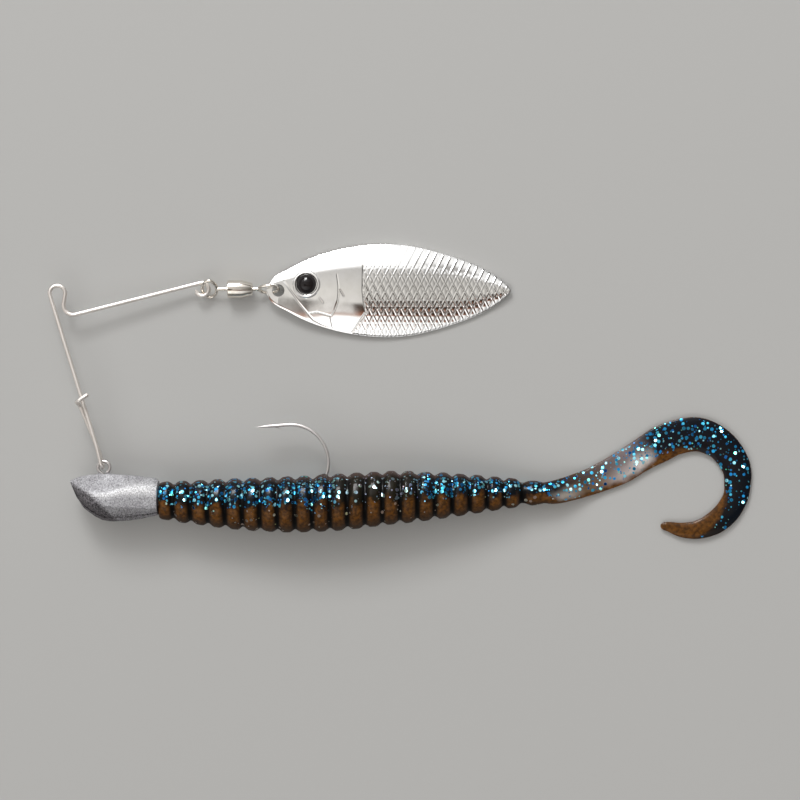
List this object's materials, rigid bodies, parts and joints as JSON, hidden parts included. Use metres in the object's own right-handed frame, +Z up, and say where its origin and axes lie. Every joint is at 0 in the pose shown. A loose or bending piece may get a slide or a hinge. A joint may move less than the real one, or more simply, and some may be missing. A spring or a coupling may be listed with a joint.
{
  "type": "spinnerbait",
  "caption": "Clip-on spinnerbait: bent wire arm with a willow blade on a swivel, snapped to a lead jig hook that carries a ringed curly-tail soft worm, lying on its side.",
  "frame": {"origin": "Centre of the box on the table that the lure lies on", "axes": "+X to the tail, +Y to the blade, +Z up off the table"},
  "size_m": [0.1408, 0.0594, 0.0112],
  "materials": {
    "wire_steel": "satin drawn spring wire",
    "nickel": "warm bright nickel plate",
    "blade_chrome": "bright plated stamping",
    "black_eye": "glossy domed bead",
    "lead": "bare cast lead, matte and grainy",
    "hook_steel": "satin hook wire",
    "worm_rubber": "glossy soft plastic, dark flaked back over an amber belly"
  },
  "bodies": {
    "jig": {"jig_head": "lead", "jig_hook": "hook_steel", "worm_body": "worm_rubber"},
    "tail": {"worm_tail": "worm_rubber"},
    "wire": {"wire_arm": "wire_steel"},
    "snap": {"snap_arm": "wire_steel"},
    "front_eye": {"swivel_front_eye": "nickel"},
    "barrel": {"swivel_barrel": "nickel"},
    "rear_eye": {"swivel_rear_eye": "nickel"},
    "spinner": {"blade": "blade_chrome", "blade_eye": "black_eye"}
  },
  "joints": [
    {"name": "wire_swing", "type": "hinge", "parent": "jig", "child": "wire", "pos_m": [-0.05909, -0.01527, 0.0047], "axis": [0, 0, 1], "range_deg": [-8, 55]},
    {"name": "snap_open", "type": "hinge", "parent": "wire", "child": "snap", "pos_m": [-0.05959, -0.01433, 0.00373], "axis": [0, 0, 1], "range_deg": [0, 20], "stiffness_Nm_per_rad": 0.01},
    {"name": "swivel_swing", "type": "hinge", "parent": "wire", "child": "front_eye", "pos_m": [-0.03974, 0.02036, 0.00196], "axis": [0, 0, 1], "range_deg": [-10, 100]},
    {"name": "front_spin", "type": "hinge", "parent": "front_eye", "child": "barrel", "pos_m": [-0.03464, 0.02036, 0.00196], "axis": [1, 0, 0], "continuous": true},
    {"name": "rear_spin", "type": "hinge", "parent": "barrel", "child": "rear_eye", "pos_m": [-0.02964, 0.02036, 0.00196], "axis": [1, 0, 0], "continuous": true},
    {"name": "blade_swing", "type": "hinge", "parent": "rear_eye", "child": "spinner", "pos_m": [-0.02449, 0.02036, 0.00196], "axis": [0, 0, 1], "range_deg": [-12, 70]},
    {"name": "tail_flex", "type": "hinge", "parent": "jig", "child": "tail", "pos_m": [0.02867, -0.02045, 0.0044], "axis": [0, -1, 0], "range_deg": [0, 45], "stiffness_Nm_per_rad": 0.0002}
  ]
}
